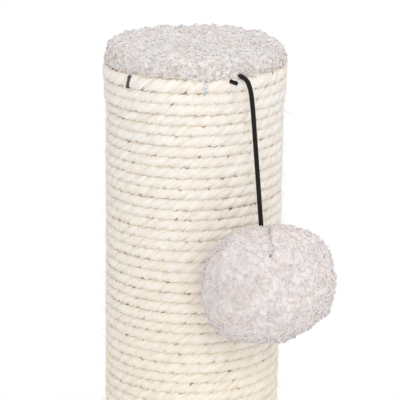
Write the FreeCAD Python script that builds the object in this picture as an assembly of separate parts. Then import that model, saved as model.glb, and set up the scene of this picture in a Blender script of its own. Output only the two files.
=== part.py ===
import FreeCAD, Part
import math
import os

# A cat scratching post: a rope-wound paperboard tube with a plush pad on top, bolted to a
# plush-covered board, with a plush ball on an elastic cord that leaves the top edge.
# Millimetres, +Z up. The origin is the middle of the underside, and the front is -Y.

Vec = FreeCAD.Vector
UP = Vec(0, 0, 1)

# ---- driving dimensions, mm ----
# base
BOARD_SIDE = 300.0
BOARD_THICK = 15.0
BOARD_CORNER_R = 25.0
COVER_THICK = 2.4         # plush of the base: backing and pile root
COVER_EDGE_R = 5.0        # how roundly the plush turns over the board's upper edge
HEM_THICK = 2.0
HEM_WIDTH = 35.0
HEM_EDGE_R = 0.8
LINING_THICK = 1.0
LINING_INSET = 8.0        # from the board's edge to the lining's edge
LINING_HOLE_R = 15.0
# post
TUBE_LENGTH = 370.0
TUBE_R = 40.0
TUBE_WALL = 3.5
TOP_PLUG_THICK = 15.0
BOTTOM_PLUG_THICK = 18.0
PLUG_CLEARANCE = 0.1      # between a plug and the tube's bore, on the radius
# rope
ROPE_D = 4.9              # the rope's firm core, without the hills of its strands
ROPE_TURN_GAP = 0.45      # between the cores of two turns
ROPE_CLEARANCE = 0.1      # between the rope and what it is wound on
WOUND_TURNS = 24
GAP_POINTS = 25           # on each arc of the winding, for its least gap to itself
ROPE_END_ANGLE = 120.0    # where the rope's upper end lies, degrees round from the front
ROPE_END_RISE = 1.13      # how far the rope's upper end stands over the tube's end
SLEEVE_EDGE_R = 2.0
SLEEVE_GAP = 0.4          # between the lower winding and its neighbours
# top pad and its cover
SKIRT_THICK = 1.2
SKIRT_LENGTH = 12.0
SKIRT_CLEARANCE = 0.1     # between the skirt and the tube
PAD_INSET = 0.8           # from the tube's outside to the pad's foot
PAD_EDGE_HEIGHT = 7.2
PAD_CROWN = 1.2           # how far its middle stands over its edge
PAD_BULGE = 1.8           # how far its side stands out between foot and edge
PAD_DRAW_IN = 0.6         # how much narrower its edge is than its foot
PILE_THICK = 2.2          # plush of the cap: backing and pile root
CAP_LIFT = 1.5            # the cap's side starts this far above the tube's end
# staples
STAPLE_CROWN = 6.4
STAPLE_WIRE_WIDE = 1.3
STAPLE_WIRE_THICK = 0.9
STAPLE_LEG = 12.0
HEM_STAPLE_LEG = 9.0
# each rim staple: degrees round from the front, how far its crown leans to the right, degrees,
# and how far it sits above the middle of the turn it holds
RIM_STAPLES = ((-44.0, 15.0, 1.2), (6.5, 0.0, 0.5), (105.0, -6.0, 0.5), (125.0, 5.0, 0.5), (168.0, 0.0, 0.5),
               (212.0, 10.0, 0.6), (251.0, -4.0, 0.5))
FOOT_STAPLE_ANGLES = (150.0, 168.0)
FOOT_STAPLE_HEIGHT = 5.0  # above the foot of the post
PLUG_STAPLE_COUNT = 6
PLUG_STAPLE_TURN = 22.0   # the first one, degrees round from the front, clear of the rim staples
HEM_STAPLES_PER_SIDE = 4
# bolt, washer and tee nut
BOLT_R = 4.0
BOLT_LENGTH = 40.0
BOLT_HEAD_R = 7.0
BOLT_HEAD_HEIGHT = 4.4
BOLT_HEAD_ROUND = 1.5
HEX_KEY_FLATS = 5.0
HEX_KEY_DEPTH = 2.6
WASHER_R = 11.0
WASHER_THICK = 1.6
BOLT_CLEARANCE = 0.5      # round the bolt in wood and plush
THREAD_CLEARANCE = 0.05
COUNTERBORE_DEPTH = 7.0
COUNTERBORE_R = 12.5
TEE_FLANGE_R = 11.0
TEE_FLANGE_THICK = 1.5
TEE_BARREL_R = 4.9
TEE_BARREL_LENGTH = 9.5
TEE_PRONG_COUNT = 4
TEE_PRONG_R = 9.0
TEE_PRONG_WIDE = 2.4
TEE_PRONG_LENGTH = 7.0
# elastic cord and ball
CORD_D = 2.3
TOY_ANGLE = 29.0          # the cord and ball hang this far round from the front, degrees
KNOT_R = 2.9
KNOT_CLEARANCE = 0.3
# the tail's two ends: degrees round from the front, and degrees up round the rope's outer edge
TAIL_ENDS = ((20.5, 54.0), (27.0, 30.0))
TAIL_CLEARANCE = 0.3      # between the tail's ends and the rope
BALL_R = 31.2             # across its axis
BALL_POLAR_R = 27.6       # along its axis, the line from its knot to its middle
BALL_SIDE_R = 24.4        # how roundly its side bulges
BALL_LEAN = 19.7          # of that axis, degrees
BALL_SKIN = 2.0
BALL_DIMPLE_R = 7.0       # the gathers where the cord goes in
BALL_DIMPLE_DEPTH = 1.2
BALL_KNOT_DEPTH = 5.5     # from the ball's pole to the middle of its knot
CORD_HOLE_CLEARANCE = 1.2
# The cord's corners, outwards from the rope's outer face and up from the tube's end: out of the
# plush, over the rope's edge and down. Its taut stretch ends at the ball's knot.
CORD_CORNERS = ((-0.6, 2.3), (5.6, 2.6), (10.4, -1.6), (12.9, -10.3))
BALL_KNOT_DROP = 73.7     # from the tube's end down to the ball's knot
BALL_REST_GAP = 1.0       # between the ball's skin and the rope where it rests

# ---- derived levels and radii ----
TUBE_BORE_R = TUBE_R - TUBE_WALL
PAD_R = TUBE_R - PAD_INSET
ROPE_R = ROPE_D / 2
ROPE_PITCH = ROPE_D + ROPE_TURN_GAP
ROPE_AXIS_R = TUBE_R + ROPE_CLEARANCE + ROPE_R
SKIRT_BORE_R = TUBE_R + SKIRT_CLEARANCE
SKIRT_R = SKIRT_BORE_R + SKIRT_THICK
SKIRT_ROPE_AXIS_R = SKIRT_R + ROPE_CLEARANCE + ROPE_R
ROPE_FACE_R = ROPE_AXIS_R + ROPE_R
BOARD_Z = LINING_THICK + HEM_THICK
BOARD_TOP_Z = BOARD_Z + BOARD_THICK
POST_Z = BOARD_TOP_Z + COVER_THICK
TUBE_TOP_Z = POST_Z + TUBE_LENGTH
BOTTOM_PLUG_TOP_Z = POST_Z + BOTTOM_PLUG_THICK
WASHER_Z = BOARD_Z + COUNTERBORE_DEPTH - WASHER_THICK
ROPE_END_Z = TUBE_TOP_Z + ROPE_END_RISE - ROPE_R
WINDING_FOOT_Z = ROPE_END_Z - WOUND_TURNS * ROPE_PITCH


def front_angle(degrees):
    """Radians from +X for an angle counted from the front, to the right."""
    return math.radians(degrees - 90)


def radial(degrees):
    angle = front_angle(degrees)
    return Vec(math.cos(angle), math.sin(angle), 0)


def tangential(degrees):
    angle = front_angle(degrees)
    return Vec(-math.sin(angle), math.cos(angle), 0)


def disc(radius, thick, z):
    return Part.makeCylinder(radius, thick, Vec(0, 0, z))


def ring(outer, inner, thick, z):
    return disc(outer, thick, z).cut(disc(inner, thick, z))


def rounded_slab(side, thick, corner_r, z):
    half = side / 2
    slab = Part.makeBox(side, side, thick, Vec(-half, -half, z))
    upright = [e for e in slab.Edges if abs(e.tangentAt(e.FirstParameter).z) > 0.9]
    return slab.makeFillet(corner_r, upright)


def edges_at(shape, z):
    """The edges that lie level at a height."""
    return [e for e in shape.Edges if abs(e.BoundBox.ZMin - z) < 1e-4 and abs(e.BoundBox.ZMax - z) < 1e-4]


def turned(edges):
    """A solid of revolution round Z from profile edges in the XZ plane that close on themselves."""
    face = Part.Face(Part.Wire(edges))
    return face.revolve(Vec(0, 0, 0), UP, 360)


def line(a, b):
    return Part.LineSegment(Vec(a[0], 0, a[1]), Vec(b[0], 0, b[1])).toShape()


def arc(a, through, b):
    return Part.Arc(Vec(a[0], 0, a[1]), Vec(through[0], 0, through[1]), Vec(b[0], 0, b[1])).toShape()


def cap_arc(edge, crown_z):
    """The arc from an edge point to the axis that is round about the axis itself."""
    rise = crown_z - edge[1]
    radius = (edge[0] ** 2 + rise ** 2) / (2 * rise)
    halfway_r = edge[0] / 2
    drop = abs(radius) - math.sqrt(radius ** 2 - halfway_r ** 2)
    halfway = (halfway_r, crown_z - math.copysign(drop, radius))
    return arc(edge, halfway, (0, crown_z))


def staple(place, leg_way, crown_way, leg):
    """A staple whose crown's middle lies at place, outside, with its legs along leg_way."""
    side_way = leg_way.cross(crown_way)
    half_crown = STAPLE_CROWN / 2
    half_wide = STAPLE_WIRE_WIDE / 2

    def bar(start, length_way, length, other_way, other):
        corner = start - side_way * half_wide
        square = [corner, corner + side_way * STAPLE_WIRE_WIDE]
        square += [square[1] + other_way * other, square[0] + other_way * other]
        return Part.Face(Part.makePolygon(square + [corner])).extrude(length_way * length)

    first = place - crown_way * half_crown
    crown = bar(first, crown_way, STAPLE_CROWN, leg_way, STAPLE_WIRE_THICK)
    left = bar(first, leg_way, leg, crown_way, STAPLE_WIRE_THICK)
    right = bar(place + crown_way * (half_crown - STAPLE_WIRE_THICK), leg_way, leg, crown_way, STAPLE_WIRE_THICK)
    return crown.fuse(left).fuse(right).removeSplitter()


# ---- base ----
def base_board():
    board = rounded_slab(BOARD_SIDE, BOARD_THICK, BOARD_CORNER_R, BOARD_Z)
    board = board.cut(disc(COUNTERBORE_R, COUNTERBORE_DEPTH, BOARD_Z))
    return board.cut(disc(BOLT_R + BOLT_CLEARANCE, BOARD_THICK, BOARD_Z))


def base_cover():
    side = BOARD_SIDE + 2 * COVER_THICK
    height = HEM_THICK + BOARD_THICK + COVER_THICK
    cover = rounded_slab(side, height, BOARD_CORNER_R + COVER_THICK, LINING_THICK)
    cover = cover.makeFillet(COVER_EDGE_R, edges_at(cover, POST_Z))
    cover = cover.makeFillet(HEM_EDGE_R, edges_at(cover, LINING_THICK))
    cover = cover.cut(rounded_slab(BOARD_SIDE, BOARD_THICK, BOARD_CORNER_R, BOARD_Z))
    window = rounded_slab(BOARD_SIDE - 2 * HEM_WIDTH, HEM_THICK, BOARD_CORNER_R / 2, LINING_THICK)
    cover = cover.cut(window)
    return cover.cut(disc(BOLT_R + BOLT_CLEARANCE, COVER_THICK, BOARD_TOP_Z))


def base_lining():
    sheet = rounded_slab(BOARD_SIDE - 2 * LINING_INSET, LINING_THICK, BOARD_CORNER_R - LINING_INSET, 0)
    return sheet.cut(disc(LINING_HOLE_R, LINING_THICK, 0))


def base_cover_staples():
    staples = []
    row_out = BOARD_SIDE / 2 - HEM_WIDTH / 2
    step = 2 * row_out / HEM_STAPLES_PER_SIDE
    for side in range(4):
        turn = FreeCAD.Rotation(UP, 90 * side)
        for k in range(HEM_STAPLES_PER_SIDE):
            place = turn.multVec(Vec((k + 0.5) * step - row_out, -row_out, LINING_THICK))
            staples.append(staple(place, UP, turn.multVec(Vec(1, 0, 0)), HEM_STAPLE_LEG))
    return staples


# ---- bolt, washer and tee nut ----
def bolt_washer():
    return ring(WASHER_R, BOLT_R + BOLT_CLEARANCE, WASHER_THICK, WASHER_Z)


def post_bolt():
    head_z = WASHER_Z - BOLT_HEAD_HEIGHT
    head = disc(BOLT_HEAD_R, BOLT_HEAD_HEIGHT, head_z)
    head = head.makeFillet(BOLT_HEAD_ROUND, edges_at(head, head_z))
    shank = disc(BOLT_R - THREAD_CLEARANCE, BOLT_LENGTH, WASHER_Z)
    shank = shank.makeChamfer(BOLT_R / 5, edges_at(shank, WASHER_Z + BOLT_LENGTH))
    corner_r = HEX_KEY_FLATS / math.sqrt(3)
    corners = [Vec(corner_r * math.cos(k * math.pi / 3), corner_r * math.sin(k * math.pi / 3), head_z)
               for k in range(7)]
    socket = Part.Face(Part.makePolygon(corners)).extrude(UP * HEX_KEY_DEPTH)
    return head.fuse(shank).cut(socket).removeSplitter()


def tee_nut():
    flange = disc(TEE_FLANGE_R, TEE_FLANGE_THICK, BOTTOM_PLUG_TOP_Z)
    nut = flange.fuse(disc(TEE_BARREL_R, TEE_BARREL_LENGTH, BOTTOM_PLUG_TOP_Z - TEE_BARREL_LENGTH))
    for prong in tee_prongs():
        nut = nut.fuse(prong)
    height = TEE_BARREL_LENGTH + TEE_FLANGE_THICK
    return nut.cut(disc(BOLT_R, height, BOTTOM_PLUG_TOP_Z - TEE_BARREL_LENGTH)).removeSplitter()


def tee_prongs():
    prongs = []
    half = TEE_PRONG_WIDE / 2
    for k in range(TEE_PRONG_COUNT):
        foot = Vec(TEE_PRONG_R, 0, BOTTOM_PLUG_TOP_Z)
        blade = [foot + Vec(0, -half, 0), foot + Vec(0, half, 0), foot + Vec(0, 0, -TEE_PRONG_LENGTH)]
        prong = Part.Face(Part.makePolygon(blade + blade[:1])).extrude(Vec(TEE_FLANGE_THICK, 0, 0))
        prong.rotate(Vec(0, 0, 0), UP, 360 / TEE_PRONG_COUNT * k)
        prongs.append(prong)
    return prongs


# ---- post ----
def plug_staples(plug_z, plug_thick):
    staples = []
    for k in range(PLUG_STAPLE_COUNT):
        out = radial(PLUG_STAPLE_TURN + 360 / PLUG_STAPLE_COUNT * k)
        place = out * TUBE_R + Vec(0, 0, plug_z + plug_thick / 2)
        staples.append(staple(place, -out, UP, STAPLE_LEG))
    return staples


def top_plug():
    return disc(TUBE_BORE_R - PLUG_CLEARANCE, TOP_PLUG_THICK, TUBE_TOP_Z - TOP_PLUG_THICK)


def bottom_plug():
    plug = disc(TUBE_BORE_R - PLUG_CLEARANCE, BOTTOM_PLUG_THICK, POST_Z)
    plug = plug.cut(disc(BOLT_R + BOLT_CLEARANCE, BOTTOM_PLUG_THICK, POST_Z))
    plug = plug.cut(disc(TEE_BARREL_R, TEE_BARREL_LENGTH, BOTTOM_PLUG_TOP_Z - TEE_BARREL_LENGTH))
    for prong in tee_prongs():
        plug = plug.cut(prong)
    return plug


def post_tube():
    return ring(TUBE_R, TUBE_BORE_R, TUBE_LENGTH, POST_Z)


# ---- top pad and its cover ----
def crowned(foot_z, grow):
    """Profile of the pad, grown by a thickness: from its foot round its bulging side to its crown."""
    edge_z = TUBE_TOP_Z + PAD_EDGE_HEIGHT + grow
    foot = (PAD_R + grow, foot_z)
    side = (PAD_R + PAD_BULGE + grow, (foot_z + edge_z) / 2)
    edge = (PAD_R - PAD_DRAW_IN + grow, edge_z)
    crown_z = edge_z + PAD_CROWN
    return foot, (0, crown_z), [arc(foot, side, edge), cap_arc(edge, crown_z)]


def top_pad():
    foot, crown, outline = crowned(TUBE_TOP_Z, 0)
    middle = (0, TUBE_TOP_Z)
    return turned([line(middle, foot)] + outline + [line(crown, middle)])


def top_cover(pad):
    foot, crown, outline = crowned(TUBE_TOP_Z + CAP_LIFT, PILE_THICK)
    middle = (0, TUBE_TOP_Z - SKIRT_LENGTH)
    hem = (SKIRT_R, middle[1])
    tuck = (SKIRT_R, foot[1])
    cap = turned([line(middle, hem), line(hem, tuck), line(tuck, foot)] + outline + [line(crown, middle)])
    return cap.cut(disc(SKIRT_BORE_R, SKIRT_LENGTH, middle[1])).cut(pad)


# ---- rope ----
def rope_axis_z(degrees):
    """Height of the uppermost turn's middle at an angle counted from the front."""
    below_end = (ROPE_END_ANGLE - degrees) % 360
    return ROPE_END_Z - ROPE_PITCH * below_end / 360


def winding_radius(turns_down):
    """Radius of the rope's middle: wider where it, or the half turn above, lies over the skirt."""
    rope_top = ROPE_END_Z - (turns_down - 0.5) * ROPE_PITCH + ROPE_R
    return SKIRT_ROPE_AXIS_R if rope_top > TUBE_TOP_Z - SKIRT_LENGTH else ROPE_AXIS_R


def winding_knot(half_turn):
    """Point and direction of the winding, counted in half turns up from its foot."""
    turns_down = WOUND_TURNS - half_turn / 2
    angle = front_angle(ROPE_END_ANGLE - 360 * turns_down)
    radius = winding_radius(turns_down)
    point = Vec(radius * math.cos(angle), radius * math.sin(angle), ROPE_END_Z - turns_down * ROPE_PITCH)
    way = Vec(-math.sin(angle), math.cos(angle), ROPE_PITCH / (2 * math.pi * radius))
    return point, way.normalize()


def arc_through(start, corner, end):
    """The arc that leaves start towards the corner and reaches end coming from it."""
    leg = corner.distanceToPoint(start)
    weight = start.distanceToPoint(end) / 2 / leg
    middle = (start + end + corner * (2 * weight)) / (2 + 2 * weight)
    return Part.Arc(start, middle, end)


def biarc(start, start_way, end, end_way):
    """Two arcs that join two points smoothly, with given directions at both."""
    span = end - start
    ways = start_way + end_way
    square = 2 * (start_way.dot(end_way) - 1)
    linear = -2 * span.dot(ways)
    reach = (-linear - math.sqrt(linear ** 2 - 4 * square * span.dot(span))) / (2 * square)
    first_corner = start + start_way * reach
    second_corner = end - end_way * reach
    joint = (first_corner + second_corner) / 2
    return [arc_through(start, first_corner, joint), arc_through(joint, second_corner, end)]


def tube_along(curves, diameter):
    """A round tube along joined lines and arcs."""
    path = Part.Wire([c.toShape() for c in curves])
    start = curves[0].value(curves[0].FirstParameter)
    way = curves[0].tangent(curves[0].FirstParameter)[0]
    section = Part.Wire([Part.Circle(start, way, diameter / 2).toShape()])
    return path.makePipeShell([section], True, False)


def least_gap(curves, diameter, turn_length):
    """Least gap between a tube's neighbouring turns, measured on points along its middle line."""
    points = []
    for curve in curves:
        span = curve.LastParameter - curve.FirstParameter
        points += [curve.value(curve.FirstParameter + span * k / GAP_POINTS) for k in range(GAP_POINTS)]
    run = [0.0]
    for a, b in zip(points, points[1:]):
        run.append(run[-1] + a.distanceToPoint(b))
    least = math.inf
    for i, point in enumerate(points):
        for j in range(i + 1, len(points)):
            if run[j] - run[i] > 1.5 * turn_length:
                break
            if run[j] - run[i] > 0.5 * turn_length:
                least = min(least, point.distanceToPoint(points[j]))
    return least - diameter


def rope_winding():
    knots = [winding_knot(k) for k in range(2 * WOUND_TURNS + 1)]
    curves = []
    for (start, start_way), (end, end_way) in zip(knots, knots[1:]):
        curves += biarc(start, start_way, end, end_way)
    foot, foot_way = knots[0]
    tip, tip_way = knots[-1]
    curves.insert(0, Part.LineSegment(foot - foot_way * ROPE_D, foot))
    curves.append(Part.LineSegment(tip, tip + tip_way * ROPE_D))
    gap = least_gap(curves, ROPE_D, 2 * math.pi * ROPE_AXIS_R)
    print("rope winding: least gap to itself", round(gap, 3), "mm")
    tube = tube_along(curves, ROPE_D)
    length = sum(c.toShape().Length for c in curves)
    print("rope winding: length", round(length), "mm, volume against section x length",
          round(tube.Volume / (math.pi * ROPE_R ** 2 * length), 5))
    return tube


def rope_lower_winding():
    sleeve_z = POST_Z + SLEEVE_GAP
    sleeve_top = WINDING_FOOT_Z - ROPE_R - SLEEVE_GAP
    sleeve = ring(ROPE_FACE_R, TUBE_R + ROPE_CLEARANCE, sleeve_top - sleeve_z, sleeve_z)
    outer = [e for e in edges_at(sleeve, sleeve_z) + edges_at(sleeve, sleeve_top)
             if e.Length > 2 * math.pi * (ROPE_FACE_R - 0.01)]
    return sleeve.makeFillet(SLEEVE_EDGE_R, outer)


def rope_top_staples():
    staples = []
    for degrees, lean, rise in RIM_STAPLES:
        out = radial(degrees)
        face_r = SKIRT_ROPE_AXIS_R + ROPE_R + STAPLE_WIRE_THICK
        place = out * face_r + Vec(0, 0, rope_axis_z(degrees) + rise)
        crown_way = UP * math.cos(math.radians(lean)) + tangential(degrees) * math.sin(math.radians(lean))
        staples.append(staple(place, -out, crown_way, STAPLE_LEG))
    return staples


def rope_bottom_staples():
    staples = []
    for degrees in FOOT_STAPLE_ANGLES:
        out = radial(degrees)
        place = out * (ROPE_FACE_R + STAPLE_WIRE_THICK) + Vec(0, 0, POST_Z + FOOT_STAPLE_HEIGHT)
        staples.append(staple(place, -out, UP, STAPLE_LEG))
    return staples


# ---- elastic cord and ball ----
def toy_point(out, up):
    """A point in the toy's upright plane: outwards from the rope's face, up from the tube's end."""
    return radial(TOY_ANGLE) * (ROPE_FACE_R + out) + Vec(0, 0, TUBE_TOP_Z + up)


def toy_way(lean):
    """Downwards, leaning outwards by an angle in degrees."""
    return radial(TOY_ANGLE) * math.sin(math.radians(lean)) - UP * math.cos(math.radians(lean))


def top_knot_place():
    start = toy_point(*CORD_CORNERS[0])
    way = (toy_point(*CORD_CORNERS[1]) - start).normalize()
    return start - way * (KNOT_R + KNOT_CLEARANCE)


def ball_knot_place():
    """On the ball's axis, so far out that the ball just clears the rope."""
    lean = math.radians(BALL_LEAN)
    reach = math.hypot(BALL_R * math.cos(lean), BALL_POLAR_R * math.sin(lean))
    out = BALL_REST_GAP + reach - (BALL_POLAR_R - BALL_KNOT_DEPTH) * math.sin(lean)
    return toy_point(out, -BALL_KNOT_DROP)


def ball_middle():
    return ball_knot_place() + toy_way(BALL_LEAN) * (BALL_POLAR_R - BALL_KNOT_DEPTH)


def cord_curves():
    """Straight runs joined by arcs, each as large as its two runs allow."""
    corners = [toy_point(*c) for c in CORD_CORNERS]
    knot = ball_knot_place()
    last_way = (knot - corners[-1]).normalize()
    corners.append(knot - last_way * (KNOT_R + KNOT_CLEARANCE))
    curves = []
    here = corners[0]
    radii = []
    for before, corner, after in zip(corners, corners[1:], corners[2:]):
        into = corner - before
        out = after - corner
        cut = 0.45 * min(into.Length, out.Length)
        half_turn = into.getAngle(out) / 2
        radii.append(round(cut / math.tan(half_turn), 2))
        start = corner - into.normalize() * cut
        end = corner + out.normalize() * cut
        curves.append(Part.LineSegment(here, start))
        curves.append(arc_through(start, corner, end))
        here = end
    curves.append(Part.LineSegment(here, corners[-1]))
    print("toy cord: arc radii", radii, "mm, least allowed", 3 * CORD_D)
    print("toy cord: points", [tuple(round(v, 2) for v in c) for c in corners])
    return curves


def toy_cord():
    curves = cord_curves()
    tube = tube_along(curves, CORD_D)
    length = sum(c.toShape().Length for c in curves)
    print("toy cord: length", round(length, 1), "mm, volume against section x length",
          round(tube.Volume / (math.pi * CORD_D ** 2 / 4 * length), 5))
    return tube


def knot(place):
    return Part.makeSphere(KNOT_R, place)


def toy_cord_tail():
    ends = []
    for degrees, up_round in TAIL_ENDS:
        off = ROPE_R + TAIL_CLEARANCE + CORD_D / 2
        out = SKIRT_ROPE_AXIS_R + off * math.cos(math.radians(up_round))
        up = rope_axis_z(degrees) + off * math.sin(math.radians(up_round))
        ends.append(radial(degrees) * out + Vec(0, 0, up))
    start, end = ends
    return Part.makeCylinder(CORD_D / 2, start.distanceToPoint(end), start, end - start)


def ball_shape(shrink):
    """A flattened ball round Z, its upper pole drawn in, shrunk by a thickness."""
    side_r = BALL_SIDE_R - shrink
    side_out = BALL_R - BALL_SIDE_R
    cap_r = (side_out ** 2 + BALL_POLAR_R ** 2 - BALL_SIDE_R ** 2) / (2 * (BALL_POLAR_R - BALL_SIDE_R))
    cap_low = cap_r - BALL_POLAR_R
    cap_r -= shrink
    slope = math.atan2(cap_low, side_out)
    joint = (side_out + side_r * math.cos(slope), side_r * math.sin(slope))
    pole_z = BALL_POLAR_R - shrink
    rim = (BALL_DIMPLE_R, math.sqrt(cap_r ** 2 - BALL_DIMPLE_R ** 2) - cap_low)
    upper_r = (rim[0] + joint[0]) / 2
    upper = (upper_r, math.sqrt(cap_r ** 2 - upper_r ** 2) - cap_low)
    dimple = (0, pole_z - BALL_DIMPLE_DEPTH)
    below = (joint[0], -joint[1])
    edges = [line(dimple, rim), arc(rim, upper, joint), arc(joint, (side_out + side_r, 0), below)]
    edges += [cap_arc(below, -pole_z), line((0, -pole_z), dimple)]
    return turned(edges)


def onto_ball(shape):
    """Moves a shape round Z at the origin onto the ball's middle and leaning axis."""
    placed = shape.copy()
    placed.rotate(Vec(0, 0, 0), tangential(TOY_ANGLE), -BALL_LEAN)
    placed.translate(ball_middle())
    return placed


def ball_channel():
    """Room for the knot and for the cord above it, round Z at the origin."""
    knot_z = BALL_POLAR_R - BALL_KNOT_DEPTH
    channel = Part.makeCylinder(CORD_D / 2 + CORD_HOLE_CLEARANCE, BALL_POLAR_R, Vec(0, 0, knot_z))
    return channel.fuse(Part.makeSphere(KNOT_R + KNOT_CLEARANCE, Vec(0, 0, knot_z)))


def toy_ball_cover():
    return onto_ball(ball_shape(0).cut(ball_shape(BALL_SKIN)).cut(ball_channel()))


def toy_ball_filling():
    return onto_ball(ball_shape(BALL_SKIN).cut(ball_channel()))


# ---- assembly ----
def cut_all(shape, tools):
    for tool in tools:
        shape = shape.cut(tool)
    return shape


def build():
    hem_staples = base_cover_staples()
    top_staples = plug_staples(TUBE_TOP_Z - TOP_PLUG_THICK, TOP_PLUG_THICK)
    foot_staples = plug_staples(POST_Z, BOTTOM_PLUG_THICK)
    rim_staples = rope_top_staples()
    end_staples = rope_bottom_staples()
    knot_room = Part.makeSphere(KNOT_R + KNOT_CLEARANCE, top_knot_place(), radial(TOY_ANGLE))
    pad = top_pad()
    in_wall = top_staples + foot_staples + rim_staples + end_staples
    return {
        "base_board": cut_all(base_board(), hem_staples),
        "base_cover": cut_all(base_cover(), hem_staples),
        "base_lining": base_lining(),
        "base_cover_staples": Part.makeCompound(hem_staples),
        "bolt_washer": bolt_washer(),
        "post_bolt": post_bolt(),
        "tee_nut": tee_nut(),
        "bottom_plug": cut_all(bottom_plug(), foot_staples + end_staples),
        "bottom_plug_staples": Part.makeCompound(foot_staples),
        "post_tube": cut_all(post_tube(), in_wall + [knot_room]),
        "top_plug": cut_all(top_plug(), top_staples + rim_staples),
        "top_plug_staples": Part.makeCompound(top_staples),
        "top_pad": cut_all(pad, [knot_room] + rim_staples),
        "top_cover": cut_all(top_cover(pad), [knot_room] + rim_staples),
        "rope_winding": rope_winding(),
        "rope_lower_winding": cut_all(rope_lower_winding(), end_staples),
        "rope_top_staples": Part.makeCompound(rim_staples),
        "rope_bottom_staples": Part.makeCompound(end_staples),
        "toy_cord_tail": toy_cord_tail(),
        "toy_cord_knot_top": knot(top_knot_place()),
        "toy_cord": toy_cord(),
        "toy_cord_knot_bottom": knot(ball_knot_place()),
        "toy_ball_cover": toy_ball_cover(),
        "toy_ball_filling": toy_ball_filling(),
    }


os.makedirs("parts", exist_ok=True)
for name, shape in build().items():
    if not shape.isValid():
        raise ValueError(name + " is not a valid shape")
    box = shape.BoundBox
    print(name, len(shape.Solids), "solids,", round(shape.Volume), "mm3,",
          [round(v, 1) for v in (box.XMin, box.YMin, box.ZMin, box.XMax, box.YMax, box.ZMax)])
    shape.exportStep("parts/" + name + ".step")
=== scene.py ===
import math

import bpy
import numpy as np
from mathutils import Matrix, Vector


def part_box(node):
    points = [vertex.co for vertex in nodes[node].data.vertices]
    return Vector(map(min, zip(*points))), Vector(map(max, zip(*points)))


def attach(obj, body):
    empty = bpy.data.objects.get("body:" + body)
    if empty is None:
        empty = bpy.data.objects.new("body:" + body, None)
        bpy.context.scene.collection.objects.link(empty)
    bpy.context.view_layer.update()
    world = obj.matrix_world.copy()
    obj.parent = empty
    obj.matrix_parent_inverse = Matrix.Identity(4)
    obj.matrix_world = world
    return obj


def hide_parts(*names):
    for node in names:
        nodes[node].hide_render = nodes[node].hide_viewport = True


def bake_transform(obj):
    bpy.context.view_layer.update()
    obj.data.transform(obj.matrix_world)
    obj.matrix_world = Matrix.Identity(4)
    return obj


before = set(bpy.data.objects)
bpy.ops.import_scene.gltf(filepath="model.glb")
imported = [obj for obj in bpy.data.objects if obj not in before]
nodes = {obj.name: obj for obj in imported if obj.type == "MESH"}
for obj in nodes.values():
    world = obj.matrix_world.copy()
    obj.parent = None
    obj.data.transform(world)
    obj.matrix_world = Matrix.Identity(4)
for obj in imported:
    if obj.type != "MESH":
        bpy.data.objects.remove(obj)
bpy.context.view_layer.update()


# Base board: a square of raw medium-density fibreboard with rounded corners, sawn and drilled,
# with a counterbore below for the head of the post's bolt. Plush hides all but the counterbore.

def finish_for(name, colour, roughness, **sockets):
    """A new material, its shader's own sockets set."""
    finish = bpy.data.materials.new(name)
    finish.use_nodes = True
    shader = finish.node_tree.nodes["Principled BSDF"]
    shader.inputs["Base Color"].default_value = (*colour, 1)
    shader.inputs["Roughness"].default_value = roughness
    for socket, value in sockets.items():
        shader.inputs[socket.replace("_", " ")].default_value = value
    return finish


def put(finish, kind, values=(), **settings):
    """Adds a node to a material or world. A value sets an input socket, or is linked to it if an output."""
    made = finish.node_tree.nodes.new("ShaderNode" + kind)
    for setting, value in settings.items():
        setattr(made, setting, value)
    for socket, value in dict(values).items():
        if isinstance(value, bpy.types.NodeSocket):
            finish.node_tree.links.new(value, made.inputs[socket])
        else:
            made.inputs[socket].default_value = value
    return made


def feed(finish, output, socket):
    """Links an output to a socket of the material's shader."""
    shader = finish.node_tree.nodes["Principled BSDF"]
    finish.node_tree.links.new(output, shader.inputs[socket])


def own_place(finish, stretch=(1, 1, 1), attribute=None):
    """Where a point lies on its piece, in metres times stretch: by Object coordinates or an attribute."""
    if attribute:
        place = put(finish, "Attribute", attribute_name=attribute).outputs["Vector"]
    else:
        place = put(finish, "TexCoord").outputs["Object"]
    return put(finish, "Mapping", {"Vector": place, "Scale": stretch}).outputs["Vector"]


def noise(finish, place, scale, detail=3, roughness=0.55):
    """Random mottling from 0 to 1, with scale bumps to a metre."""
    values = {"Vector": place, "Scale": scale, "Detail": detail, "Roughness": roughness}
    return put(finish, "TexNoise", values).outputs["Fac"]


def colours_of(finish, amount, *stops):
    """Colours along 0 to 1: each stop is a place and a colour."""
    ramp = put(finish, "ValToRGB", {"Fac": amount})
    rows = ramp.color_ramp.elements
    while len(rows) < len(stops):
        rows.new(0.5)
    for row, (place, colour) in zip(rows, stops):
        row.position = place
        row.color = (*colour, 1)
    return ramp.outputs["Color"]


def between(finish, value, low, high):
    """0 where value is low, rising evenly to 1 where it is high."""
    return put(finish, "MapRange", {"Value": value, "From Min": low, "From Max": high}).outputs["Result"]


def times(finish, value, factor):
    return put(finish, "Math", {0: value, 1: factor}, operation="MULTIPLY").outputs[0]


def mixed(finish, amount, first, second, kind="MIX"):
    """The first colour, with that amount of the second mixed or multiplied into it."""
    values = {"Factor": amount, 6: first, 7: second}
    return put(finish, "Mix", values, data_type="RGBA", blend_type=kind).outputs[2]


def relief(finish, height, distance):
    """Bump of a real depth, in metres."""
    bump = put(finish, "Bump", {"Height": height, "Distance": distance, "Strength": 1.0})
    feed(finish, bump.outputs["Normal"], "Normal")


def wear(node, finish):
    """Gives a CAD node its material."""
    part = nodes[node]
    part.data.materials.clear()
    part.data.materials.append(finish)


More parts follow.
